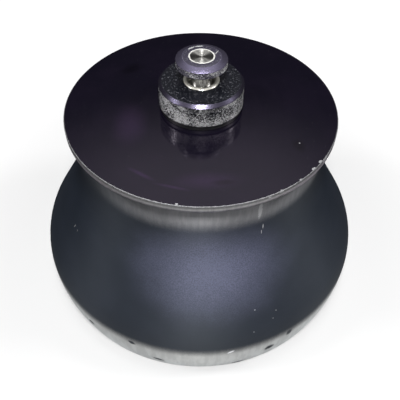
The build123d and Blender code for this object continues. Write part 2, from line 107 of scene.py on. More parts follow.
class Graph:
    """Shader nodes of one material or world, added and linked by short calls."""

    def __init__(self, owner: bpy.types.Material | bpy.types.World, coordinates: str = "Object") -> None:
        """Start an empty node tree.

        Args:
            owner: Material or world that the nodes belong to.
            coordinates: Output of Texture Coordinate that gives the place.
        """
        self.owner = owner
        owner.use_nodes = True
        self.tree = owner.node_tree
        self.tree.nodes.clear()
        self.place = self.node("ShaderNodeTexCoord").outputs[coordinates]
        self.x, self.y, self.z = self.fed("ShaderNodeSeparateXYZ", (self.place,)).outputs

    @cached_property
    def radius(self) -> Socket:
        """Distance from the spin axis, in metres."""
        return self.vector("LENGTH", self.combine(self.x, self.y, 0.0))

    @cached_property
    def outward(self) -> Socket:
        """Direction away from the spin axis."""
        return self.vector("NORMALIZE", self.combine(self.x, self.y, 0.0))

    @cached_property
    def path(self) -> bpy.types.Node:
        """Light Path node, which tells the kind of ray that arrives."""
        return self.node("ShaderNodeLightPath")

    @cached_property
    def looked_at(self) -> Socket:
        """1 for a ray that comes from the camera, straight or through a clear piece, else 0."""
        return self.most(self.path.outputs["Is Camera Ray"], self.path.outputs["Is Transmission Ray"])

    def node(self, kind: str, **settings: object) -> bpy.types.Node:
        """Add a node.

        Args:
            kind: Blender's type name of the node.
            settings: Properties to set on it.

        Returns:
            The new node.
        """
        made = self.tree.nodes.new(kind)
        for key, value in settings.items():
            setattr(made, key, value)
        return made

    def feed(self, target: Socket, value: object) -> None:
        """Link a socket to the target, or set the target's own value.

        Args:
            target: Input socket to feed.
            value: Output socket, number, colour or vector.
        """
        if isinstance(value, bpy.types.NodeSocket):
            self.tree.links.new(value, target)
        elif isinstance(value, tuple) and len(value) == 3 and target.type == "RGBA":
            target.default_value = (*value, 1.0)
        else:
            target.default_value = value

    def fed(self, kind: str, feeds: Sequence[object], **settings: object) -> bpy.types.Node:
        """Add a node and feed its inputs in their order.

        Args:
            kind: Blender's type name of the node.
            feeds: What feeds each of its first inputs.
            settings: Properties to set on it.

        Returns:
            The new node.
        """
        made = self.node(kind, **settings)
        for target, value in zip(made.inputs, feeds):
            self.feed(target, value)
        return made

    def named(self, kind: str, **inputs: object) -> Socket:
        """Add a node and feed its inputs by their names.

        Args:
            kind: Blender's type name of the node.
            inputs: Socket names, with _ for a space, and what feeds each.

        Returns:
            The node's first output.
        """
        made = self.node(kind)
        for key, value in inputs.items():
            self.feed(made.inputs[key.replace("_", " ")], value)
        return made.outputs[0]

    def math(self, operation: str, first: Value, second: Value = 0.0) -> Socket:
        """Result of one Math node."""
        return self.fed("ShaderNodeMath", (first, second), operation=operation).outputs[0]

    def times(self, *factors: Value) -> Socket:
        """Product of the factors."""
        return reduce(partial(self.math, "MULTIPLY"), factors)

    def plus(self, *terms: Value) -> Socket:
        """Sum of the terms."""
        return reduce(partial(self.math, "ADD"), terms)

    def most(self, *values: Value) -> Value:
        """Largest of the values."""
        return reduce(partial(self.math, "MAXIMUM"), values)

    def without(self, share: Value) -> Socket:
        """What a share leaves of one."""
        return self.math("SUBTRACT", 1.0, share)

    def sway(self, noise: Value, reach: float) -> Socket:
        """Noise spread evenly to both sides of zero, over a reach."""
        return self.times(self.math("SUBTRACT", noise, 0.5), reach)

    def vector(self, operation: str, first: object, second: object = (0.0, 0.0, 0.0)) -> Socket:
        """Result of one Vector Math node.

        Args:
            operation: Blender's name of the operation.
            first: First vector.
            second: Second vector, if the operation has one.

        Returns:
            Its number for lengths and dot products, else its vector.
        """
        made = self.fed("ShaderNodeVectorMath", (first, second), operation=operation)
        is_number = operation in ("LENGTH", "DOT_PRODUCT", "DISTANCE")
        return made.outputs["Value" if is_number else "Vector"]

    def combine(self, x: Value, y: Value, z: Value) -> Socket:
        """Vector of three numbers."""
        return self.fed("ShaderNodeCombineXYZ", (x, y, z)).outputs[0]

    def step(
        self, value: Value, low: float, high: float, to_low: float = 0.0, to_high: float = 1.0
    ) -> Socket:
        """Smooth step between two limits.

        Args:
            value: Number to map.
            low: Where the step starts.
            high: Where the step ends.
            to_low: Result at and below low.
            to_high: Result at and above high.

        Returns:
            The mapped number.
        """
        numbers = (value, low, high, to_low, to_high)
        return self.fed("ShaderNodeMapRange", numbers, interpolation_type="SMOOTHSTEP").outputs[0]

    def noise(
        self, scale: float, place: Socket | None = None, detail: float = 2.0, roughness: float = 0.5
    ) -> Socket:
        """Noise between 0 and 1.

        Args:
            scale: Features per metre.
            place: Coordinates, or None for the object's own.
            detail: Octaves.
            roughness: Weight of the finer octaves.

        Returns:
            The noise value.
        """
        place = self.place if place is None else place
        return self.named("ShaderNodeTexNoise", Vector=place, Scale=scale, Detail=detail, Roughness=roughness)

    def ragged(self) -> Socket:
        """Noise about a millimetre wide, which breaks up the outlines of wear."""
        return self.noise(900.0, detail=3.0, roughness=0.7)

    def blend(self, factor: Value, first: object, second: object) -> Socket:
        """Colour mixed from two.

        Args:
            factor: Share of the second colour.
            first: Colour at a factor of 0.
            second: Colour at a factor of 1.

        Returns:
            The mixed colour.
        """
        made = self.node("ShaderNodeMix", data_type="RGBA")
        self.feed(made.inputs["Factor"], factor)
        self.feed(made.inputs[6], first)
        self.feed(made.inputs[7], second)
        return made.outputs[2]

    def bump(self, height: Value, depth: float, normal: Socket | None = None) -> Socket:
        """Normal bent by a height.

        Args:
            height: Height between 0 and 1.
            depth: Depth of that height, in metres.
            normal: Normal to start from.

        Returns:
            The bent normal.
        """
        start = {} if normal is None else {"Normal": normal}
        return self.named("ShaderNodeBump", Strength=1.0, Distance=depth, Height=height, **start)

    def round_tangent(self) -> Socket:
        """Direction round the spin axis, along the tool marks of a turned piece.

        Returns:
            The direction in the world.
        """
        across = self.vector("CROSS_PRODUCT", (0.0, 0.0, 1.0), self.place)
        turn = self.fed(
            "ShaderNodeVectorTransform", (self.vector("NORMALIZE", across),),
            vector_type="VECTOR", convert_from="OBJECT", convert_to="WORLD",
        )
        return turn.outputs[0]

    def streaks(self, count: float, slant: float = 2.0) -> Socket:
        """Noise that changes round the axis and hardly along it.

        Args:
            count: Streaks per radian.
            slant: Change along the axis, per metre.

        Returns:
            A number between 0 and 1.
        """
        drift = self.combine(0.0, 0.0, self.times(self.z, slant))
        return self.noise(count, self.vector("ADD", self.outward, drift), 3.0, 0.6)

    def close(self, output: str, shader: Socket) -> None:
        """Feed a shader to the tree's output, of the given type name."""
        self.feed(self.node(output).inputs["Surface"], shader)

    def surface(self, **inputs: object) -> bpy.types.Material:
        """Finish the material with a Principled shader.

        Args:
            inputs: Socket names, with _ for a space, and what feeds each.

        Returns:
            The material.
        """
        self.close("ShaderNodeOutputMaterial", self.named("ShaderNodeBsdfPrincipled", **inputs))
        return self.owner


@dataclass(frozen=True)
class Mark:
    """A small mark on a surface: a chip, scratch, smudge or dent.

    Attributes:
        place: Its middle, in millimetres.
        size: Half lengths along its own axes, in millimetres.
        turn: Turn of those axes, in degrees about X, Y and Z.
        strength: Cover at its middle.
    """

    place: tuple[float, float, float]
    size: tuple[float, float, float]
    turn: tuple[float, float, float] = (0.0, 0.0, 0.0)
    strength: float = 1.0

    def mask(self, graph: Graph, ragged: Value, softness: float) -> Socket:
        """Cover of the mark.

        Args:
            graph: Graph to build in.
            ragged: Noise that breaks up the mark's outline.
            softness: Width of its edge as a share of its size.

        Returns:
            A number from 0 outside to the mark's strength inside.
        """
        mapping = graph.node("ShaderNodeMapping", vector_type="TEXTURE")
        graph.feed(mapping.inputs["Vector"], graph.place)
        graph.feed(mapping.inputs["Location"], tuple(mm(c) for c in self.place))
        graph.feed(mapping.inputs["Rotation"], tuple(math.radians(a) for a in self.turn))
        graph.feed(mapping.inputs["Scale"], tuple(mm(s) for s in self.size))
        reach = graph.plus(graph.vector("LENGTH", mapping.outputs[0]), graph.sway(ragged, RAGGED_REACH))
        return graph.step(reach, 1.0, 1.0 - softness, 0.0, self.strength)


def cover(graph: Graph, marks: Sequence[Mark], ragged: Value, softness: float) -> Value:
    """Joint cover of several marks.

    Args:
        graph: Graph to build in.
        marks: The marks.
        ragged: Noise that breaks up their outlines.
        softness: Width of their edges as a share of their size.

    Returns:
        The largest of their covers, or 0 for no marks.
    """
    return graph.most(0.0, *(mark.mask(graph, ragged, softness) for mark in marks))


# --------------------------------------------------------------------- finishes


def tool_marks(graph: Graph, pitch: float) -> Socket:
    """Fine rings that a cutting tool leaves round a turned piece.

    Args:
        graph: Graph to build in.
        pitch: Spacing of the marks, in millimetres.

    Returns:
        A number from 0 to 1 that changes along the section and hardly round the axis.
    """
    rings = graph.combine(graph.radius, graph.z, 0.0)
    fine = graph.noise(1.0 / mm(pitch), rings, 3.0, 0.6)
    broad = graph.noise(0.12 / mm(pitch), rings)
    return graph.plus(graph.times(fine, 0.6), graph.times(broad, 0.4))


@dataclass(frozen=True)
class WornBand:
    """A stretch of a turned wall where the film is worn thin and shows grey metal.

    Attributes:
        low: Height of its lower edge, in millimetres.
        high: Height of its upper edge, in millimetres.
        soft: Width over which it fades, in millimetres.
        metal: Colour of the metal that shows.
        streak: Share of the wear that comes and goes round the axis.
        wear_and_painted_sheen_side: Direction, seen from above, where the band is worn most and carries a
            painted sheen, or None for all round.
        inside: Radius inside which the film is left, in millimetres.
    """

    low: float
    high: float
    soft: float
    metal: Colour
    streak: float
    wear_and_painted_sheen_side: tuple[float, float, float] | None = None
    inside: float = 0.0

    def mask(self, graph: Graph, ragged: Socket) -> Socket:
        """Cover of the band.

        Args:
            graph: Graph to build in.
            ragged: Noise that breaks up the band's edges.

        Returns:
            A number from 0 outside to 1 where the metal shows.
        """
        half = self.soft / 2
        level = graph.plus(graph.z, graph.sway(ragged, mm(self.soft) * 0.3))
        worn = graph.times(
            graph.step(level, mm(self.low - half), mm(self.low + half)),
            graph.step(level, mm(self.high + half), mm(self.high - half)),
            graph.step(graph.streaks(26.0), 0.38, 0.62, 1.0 - self.streak, 1.0),
        )
        # More metal towards one side: partly wear, partly painted sheen where the front light falls.
        if self.wear_and_painted_sheen_side is not None:
            towards = graph.vector("DOT_PRODUCT", graph.outward, self.wear_and_painted_sheen_side)
            worn = graph.times(worn, graph.step(towards, 0.25, 0.97, 0.08, 1.0))
        if self.inside > 0.0:
            out = graph.step(graph.radius, mm(self.inside - half), mm(self.inside + half))
            worn = graph.times(worn, out)
        return worn


@dataclass(frozen=True)
class Anodised:
    """Black anodised aluminium: dyed film with a soft gloss, rubbed patches, painted sheen, dust and chipped
    spots.

    Attributes:
        name: Name of the material.
        deep: Colour of the film.
        rubbed: Colour where the film is rubbed.
        pale_film_and_sheen_colour: Colour of the paler patches, which are scuffed film and painted sheen.
        roughness: Roughness of the clean film.
        worn_roughness: Roughness where metal shows.
        ior: Index of refraction that gives the film its gloss.
        tint: Tint of the gloss.
        anisotropy: Stretch of the highlights across the tool marks.
        pitch: Spacing of the tool marks, in millimetres.
        groove: Depth of the tool marks, in millimetres.
        bare_edges: Radii and heights, in millimetres, where the film is worn to metal.
        chips_and_painted_highlight: Marks drawn as pale metal: chipped spots, and painted highlights.
        pale_film_and_painted_sheen: Large soft marks where the film looks paler: scuffed film, and painted
            sheen where light falls on it.
        smudges: Large soft marks where the film looks darker.
        bands: Bands where the film is worn thin.
        dents: Small knocks, darker than what is round them.
        mottle: How much the film's colour varies over the surface.
        film_left: Share of the film that is left where metal shows.
        dent_depth: Depth of the dents, in millimetres.
    """

    name: str
    deep: Colour
    rubbed: Colour
    pale_film_and_sheen_colour: Colour
    roughness: float
    worn_roughness: float
    ior: float
    tint: Colour = (1.0, 1.0, 1.0)
    anisotropy: float = 0.3
    pitch: float = 0.6
    groove: float = 0.004
    bare_edges: tuple[tuple[float, float, float], ...] = ()
    chips_and_painted_highlight: tuple[Mark, ...] = ()
    pale_film_and_painted_sheen: tuple[Mark, ...] = ()
    smudges: tuple[Mark, ...] = ()
    bands: tuple[WornBand, ...] = ()
    dents: tuple[Mark, ...] = ()
    mottle: float = 0.35
    film_left: float = 0.08
    dent_depth: float = 0.3

    def edge_wear(self, graph: Graph, ragged: Socket) -> Value:
        """Cover of the worn edges, each a circle of a radius, a height and a width.

        Args:
            graph: Graph to build in.
            ragged: Noise that breaks up the worn strips.

        Returns:
            The largest of their covers, or 0 for no edges.
        """
        total: Value = 0.0
        for radius, height, width in self.bare_edges:
            out = graph.math("SUBTRACT", graph.radius, mm(radius))
            up = graph.math("SUBTRACT", graph.z, mm(height))
            distance = graph.vector("LENGTH", graph.combine(out, up, 0.0))
            reach = graph.plus(distance, graph.sway(ragged, mm(width) * 0.4))
            total = graph.most(total, graph.step(reach, mm(width), mm(width) * 0.6))
        return total

    def build(self) -> bpy.types.Material:
        """Build the material.

        Returns:
            The finished material.
        """
        graph = Graph(bpy.data.materials.new(self.name))
        marks = tool_marks(graph, self.pitch)
        grain = graph.noise(1500.0)
        ragged = graph.ragged()
        mottle = graph.step(graph.noise(38.0, detail=4.0, roughness=0.6), 0.35, 0.75)
        colour = graph.blend(graph.times(mottle, self.mottle), self.deep, self.rubbed)
        # Paler patches: scuffed film, and painted sheen that stands in for light falling on the film.
        clouds = graph.step(graph.noise(45.0, detail=4.0, roughness=0.6), 0.0, 1.0, 0.4, 0.6)
        pale_film_and_painted_sheen = cover(graph, self.pale_film_and_painted_sheen, clouds, 0.98)
        colour = graph.blend(graph.times(pale_film_and_painted_sheen, graph.step(grain, 0.3, 0.7, 0.65, 1.2)), colour, self.pale_film_and_sheen_colour)
        dark = cover(graph, self.smudges, graph.noise(80.0, detail=3.0), 0.9)
        colour = graph.blend(dark, colour, scaled(self.deep, 0.3))
        dust = graph.times(graph.step(grain, 0.72, 0.8), 0.25)
        colour = graph.blend(dust, colour, grey(0.22))
        metallic: Value = 0.0
        for band in self.bands:
            worn = band.mask(graph, ragged)
            colour = graph.blend(worn, colour, band.metal)
            metallic = graph.most(metallic, worn)
        bare = graph.most(self.edge_wear(graph, ragged), cover(graph, self.chips_and_painted_highlight, ragged, 0.4))
        colour = graph.blend(bare, colour, BARE_METAL)
        knocked = cover(graph, self.dents, ragged, 0.6)
        colour = graph.blend(knocked, colour, self.deep)
        metallic = graph.times(graph.most(metallic, bare), graph.without(knocked))
        rough = graph.plus(
            self.roughness,
            graph.sway(marks, 0.12),
            graph.times(metallic, self.worn_roughness - self.roughness),
            graph.times(pale_film_and_painted_sheen, 0.12),
        )
        normal = graph.bump(marks, mm(self.groove))
        if self.dents:
            normal = graph.bump(graph.without(knocked), mm(self.dent_depth), normal)
        return graph.surface(
            Base_Color=colour,
            Metallic=graph.times(metallic, 1.0 - self.film_left),
            Roughness=rough,
            IOR=self.ior,
            Specular_Tint=self.tint,
            Anisotropic=self.anisotropy,
            Anisotropic_Rotation=ACROSS_TOOL_MARKS,
            Tangent=graph.round_tangent(),
            Normal=normal,
        )


@dataclass(frozen=True)
class WornKnurl:
    """Anodised knurl whose crests are rubbed to metal.

    Attributes:
        name: Name of the material.
        deep: Colour of the film.
        crest: Radius of the crests, in millimetres.
        valley: Radius of the valleys, in millimetres.
        low: Height of the knurl's lower end, in millimetres.
        high: Height of its upper end, in millimetres.
        face: Height of the flat top face, in millimetres.
        wear: Share of the crests that is rubbed bare.
        dust: Cover of the grey grains on the film.
        scars_and_painted_glare: Marks on the plain faces drawn as bare metal: rubbed scar marks and painted
            glare.
        dull: Marks on the knurl where the film is left.
        chamfer_sheen: Share of metal that shows on the chamfer above the knurl.
        roughness: Roughness of the film on the plain faces.
        ior: Index of refraction of the film.
        tint: Tint of the film's gloss.
        dust_colour: Colour of the grains.
        sheen_colour: Colour of the chamfer where its metal shows in full.
    """

    name: str
    deep: Colour
    crest: float
    valley: float
    low: float
    high: float
    face: float
    wear: float
    dust: float = 0.3
    scars_and_painted_glare: tuple[Mark, ...] = ()
    dull: tuple[Mark, ...] = ()
    chamfer_sheen: float = 0.16
    roughness: float = 0.26
    ior: float = 1.6
    tint: Colour = (0.88, 0.86, 1.0)
    dust_colour: Colour = (0.3, 0.3, 0.33)
    sheen_colour: Colour = (0.75, 0.68, 1.0)

    def build(self) -> bpy.types.Material:
        """Build the material.

        Returns:
            The finished material.
        """
        graph = Graph(bpy.data.materials.new(self.name))
        ragged = graph.ragged()
        patch = graph.noise(110.0, roughness=0.6)
        speck = graph.plus(graph.noise(1250.0, roughness=0.8), graph.sway(patch, 0.5))
        bare = graph.times(
            graph.step(graph.radius, mm(self.valley), mm(self.crest) * 0.9985),
            graph.step(graph.z, mm(self.low - 0.1), mm(self.low + 0.2)),
            graph.step(graph.z, mm(self.high + 0.1), mm(self.high - 0.2)),
            graph.step(speck, 0.62 - self.wear * 0.2, 0.74 - self.wear * 0.2),
            graph.without(cover(graph, self.dull, ragged, 0.9)),
        )
        # Bare metal also at the rubbed scar marks and the painted glare.
        bare = graph.most(bare, cover(graph, self.scars_and_painted_glare, ragged, 0.5))
        grain = graph.noise(850.0, detail=3.0, roughness=0.75)
        dust = graph.times(graph.step(grain, 0.55, 0.68), self.dust)
        film = graph.blend(dust, self.deep, self.dust_colour)
        slope = graph.times(
            graph.step(graph.z, mm(self.high), mm(self.high + 0.2)),
            graph.step(graph.z, mm(self.face), mm(self.face - 0.1)),
        )
        film = graph.blend(slope, film, scaled(self.sheen_colour, self.chamfer_sheen))
        glint = graph.step(graph.noise(1900.0, detail=1.0), 0.4, 0.62)
        shade = graph.plus(0.55, graph.times(glint, 0.43))
        return graph.surface(
            Base_Color=graph.blend(bare, film, graph.combine(shade, shade, shade)),
            Metallic=graph.most(graph.times(slope, 0.94), graph.times(bare, 0.45)),
            Roughness=graph.step(graph.times(bare, glint), 0.0, 1.0, self.roughness, 0.12),
            IOR=self.ior,
            Specular_Tint=self.tint,
            Normal=graph.bump(graph.noise(2200.0), mm(0.02)),
        )


@dataclass(frozen=True)
class Turned:
    """Bare turned metal.

    Attributes:
        name: Name of the material.
        colour: Colour of the metal.
        roughness: Roughness of its surface.
        anisotropy: Stretch of the highlights across the tool marks.
        pitch: Spacing of the tool marks, in millimetres.
        metal: Share of the surface that mirrors, the rest being scratched matt.
        matt_rim: Inner radius of a rim that is scratched matt, in millimetres, or None.
        rim_height: Height above which that rim is matt, in millimetres.
    """

    name: str
    colour: Colour
    roughness: float = 0.26
    anisotropy: float = 0.8
    pitch: float = 0.25
    metal: float = 1.0
    matt_rim: float | None = None
    rim_height: float = 0.0

    def build(self) -> bpy.types.Material:
        """Build the material.

        Returns:
            The finished material.
        """
        graph = Graph(bpy.data.materials.new(self.name))
        marks = tool_marks(graph, self.pitch)
        stain = graph.step(graph.noise(240.0, detail=4.0, roughness=0.65), 0.4, 0.8, 0.0, 0.5)
        metal: Value = self.metal
        if self.matt_rim is not None:
            out = graph.step(graph.radius, mm(self.matt_rim - 0.1), mm(self.matt_rim + 0.1))
            up = graph.step(graph.z, mm(self.rim_height - 0.1), mm(self.rim_height))
            metal = graph.math("SUBTRACT", self.metal, graph.times(out, up, 0.7))
        return graph.surface(
            Base_Color=graph.blend(stain, self.colour, scaled(self.colour, 0.62)),
            Metallic=metal,
            Roughness=graph.plus(self.roughness - 0.06, graph.times(marks, 0.14)),
            Anisotropic=self.anisotropy,
            Anisotropic_Rotation=ACROSS_TOOL_MARKS,
            Tangent=graph.round_tangent(),
            Normal=graph.bump(marks, mm(0.006)),
        )


@dataclass(frozen=True)
class Moulded:
    """Rubber or plastic: one dark colour with dust, dull patches and a fine grain.

    Attributes:
        name: Name of the material.
        colour: Colour of the bulk.
        roughness: Roughness of its surface.
        grain: Depth of its grain, in millimetres.
    """

    name: str
    colour: Colour
    roughness: float = 0.5
    grain: float = 0.01

    def build(self) -> bpy.types.Material:
        """Build the material.

        Returns:
            The finished material.
        """
        graph = Graph(bpy.data.materials.new(self.name))
        dull = graph.noise(300.0, detail=4.0, roughness=0.6)
        dusty = tuple(channel * 1.9 + 0.01 for channel in self.colour)
        return graph.surface(
            Base_Color=graph.blend(graph.step(dull, 0.45, 0.8, 0.0, 0.6), self.colour, dusty),
            Roughness=graph.plus(self.roughness, graph.sway(dull, 0.16)),
            Normal=graph.bump(graph.noise(1800.0), mm(self.grain)),
        )


@dataclass(frozen=True)
class SectorFilm:
    """Black film with evenly spaced bright sectors, which a speed sensor reads.

    Attributes:
        name: Name of the material.
        sectors: Number of bright sectors.
        black: Colour of the film.
        bright: Grey of the sectors, and of the sectors where they are rubbed.
    """

    name: str
    sectors: int = 20
    black: Colour = (0.012, 0.012, 0.014)
    bright: tuple[float, float] = (0.55, 0.38)

    def build(self) -> bpy.types.Material:
        """Build the material.

        Returns:
            The finished material.
        """
        graph = Graph(bpy.data.materials.new(self.name))
        heading = graph.math("ARCTAN2", graph.y, graph.x)
        wave = graph.math("SINE", graph.times(heading, float(self.sectors)))
        rubbed = graph.noise(160.0, detail=4.0, roughness=0.6)
        pale = graph.blend(graph.step(rubbed, 0.4, 0.8), *(grey(level) for level in self.bright))
        return graph.surface(
            Base_Color=graph.blend(graph.step(wave, -0.03, 0.03), self.black, pale),
            Roughness=graph.plus(0.3, graph.times(rubbed, 0.25)),
        )


def fastener_steel(name: str) -> bpy.types.Material:
    """Dull grey steel of the screws, pins and keeper ring."""
    return Turned(name, (0.42, 0.42, 0.43), roughness=0.3, anisotropy=0.0).build()


def black_rubber(name: str) -> bpy.types.Material:
    """Black rubber of the ring seals."""
    return Moulded(name, (0.012, 0.012, 0.013), roughness=0.42).build()


# --------------------------------------------------------------------- meshes


def sweep_round(outline: Outline, steps: int) -> bmesh.types.BMesh:
    """Spin a closed outline round the Z axis.

    Args:
        outline: Radius and height of each corner, in millimetres, in order.
        steps: Number of facets round the axis.

    Returns:
        A closed bmesh with its faces outwards.
    """
    bm = bmesh.new()
    corners = [bm.verts.new((mm(radius), 0.0, mm(height))) for radius, height in outline]
    edges = [bm.edges.new(pair) for pair in zip(corners, corners[1:] + corners[:1])]
    bmesh.ops.spin(
        bm, geom=corners + edges, cent=(0.0, 0.0, 0.0), axis=(0.0, 0.0, 1.0),
        angle=math.tau, steps=steps, use_merge=True, use_duplicate=False,
    )
    bmesh.ops.remove_doubles(bm, verts=bm.verts, dist=mm(0.001))
    bmesh.ops.recalc_face_normals(bm, faces=bm.faces)
    return bm


def settle(bm: bmesh.types.BMesh, name: str, sharp: float = 32.0) -> bpy.types.Object:
    """Turn a bmesh into a smooth-shaded object at the origin.

    Args:
        bm: The bmesh, which is freed.
        name: Name of the object.
        sharp: Angle above which an edge shades as sharp, in degrees.

    Returns:
        The new object, linked to the scene.
    """
    mesh = bpy.data.meshes.new(name)
    bm.to_mesh(mesh)
    bm.free()
    mesh.shade_smooth()
    mesh.set_sharp_from_angle(angle=math.radians(sharp))
    made = bpy.data.objects.new(name, mesh)
    bpy.context.scene.collection.objects.link(made)
    return made


@dataclass(frozen=True)
class Thread:
    """Screw thread cut into a plain round stretch of a piece.

    Attributes:
        radius: Radius over its crests, in millimetres.
        low: Height of its lower end, in millimetres.
        high: Height of its upper end, in millimetres.
        pitch: Height from one crest to the next, in millimetres.
        depth: Depth of the thread, in millimetres.
        steps: Rows of corners in one pitch.
    """

    radius: float
    low: float
    high: float
    pitch: float = 1.5
    depth: float = 0.7
    steps: int = 6

    def on_wall(self, vert: bmesh.types.BMVert) -> bool:
        """Whether a corner lies on the wall that is threaded."""
        return abs(math.hypot(vert.co.x, vert.co.y) - mm(self.radius)) < mm(0.05)

    def cut(self, bm: bmesh.types.BMesh) -> None:
        """Add rows of corners to the wall and sink them along a helix.

        Args:
            bm: Mesh that is changed.
        """
        count = round((self.high - self.low) / self.pitch * self.steps)
        for i in range(count + 1):
            level = mm(self.low + (self.high - self.low) * i / count)
            faces = [face for face in bm.faces if all(self.on_wall(vert) for vert in face.verts)]
            edges = {edge for face in faces for edge in face.edges}
            verts = {vert for face in faces for vert in face.verts}
            bmesh.ops.bisect_plane(
                bm, geom=[*verts, *edges, *faces], dist=mm(0.001),
                plane_co=(0.0, 0.0, level), plane_no=(0.0, 0.0, 1.0),
            )
        for vert in bm.verts:
            level = vert.co.z / mm(1)
            if not self.on_wall(vert) or not self.low < level < self.high:
                continue
            turn = (level / self.pitch - math.atan2(vert.co.y, vert.co.x) / math.tau) % 1.0
            run_out = min(1.0, (level - self.low) / self.pitch, (self.high - level) / self.pitch)
            shrink = 1.0 - self.depth * run_out * (1.0 - abs(2.0 * turn - 1.0)) / self.radius
            vert.co.x *= shrink
            vert.co.y *= shrink


def refined(
    node: bpy.types.Object, name: str, sharp: float = 30.0, thread: Thread | None = None
) -> bpy.types.Object:
    """Copy of a CAD node with joined corners and smooth shading.

    Args:
        node: The CAD node's object.
        name: Name of the copy.
        sharp: Angle above which an edge shades as sharp, in degrees.
        thread: Thread to cut into it, or None.

    Returns:
        The new object.
    """
    bm = bmesh.new()
    bm.from_mesh(node.data)
    bmesh.ops.remove_doubles(bm, verts=bm.verts, dist=mm(0.002))
    if thread is not None:
        thread.cut(bm)
    return settle(bm, name, sharp)


def put(piece: bpy.types.Object, body: str, slot: Slot, finish: bpy.types.Material, *nodes: str) -> None:
    """Dress a piece, let it ride on its body and stand for its CAD nodes.

    Args:
        piece: The piece.
        body: Body that it moves with.
        slot: Material slot of the record; not used.
        finish: Material of the whole piece.
        nodes: CAD nodes that it stands for.
    """
    piece.data.materials.clear()
    piece.data.materials.append(finish)
    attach(piece, body)
    if nodes:
        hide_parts(*nodes)
    LOG.info("%s: %d faces, rides on %s", piece.name, len(piece.data.polygons), body)


# --------------------------------------------------------------------- sub-assemblies


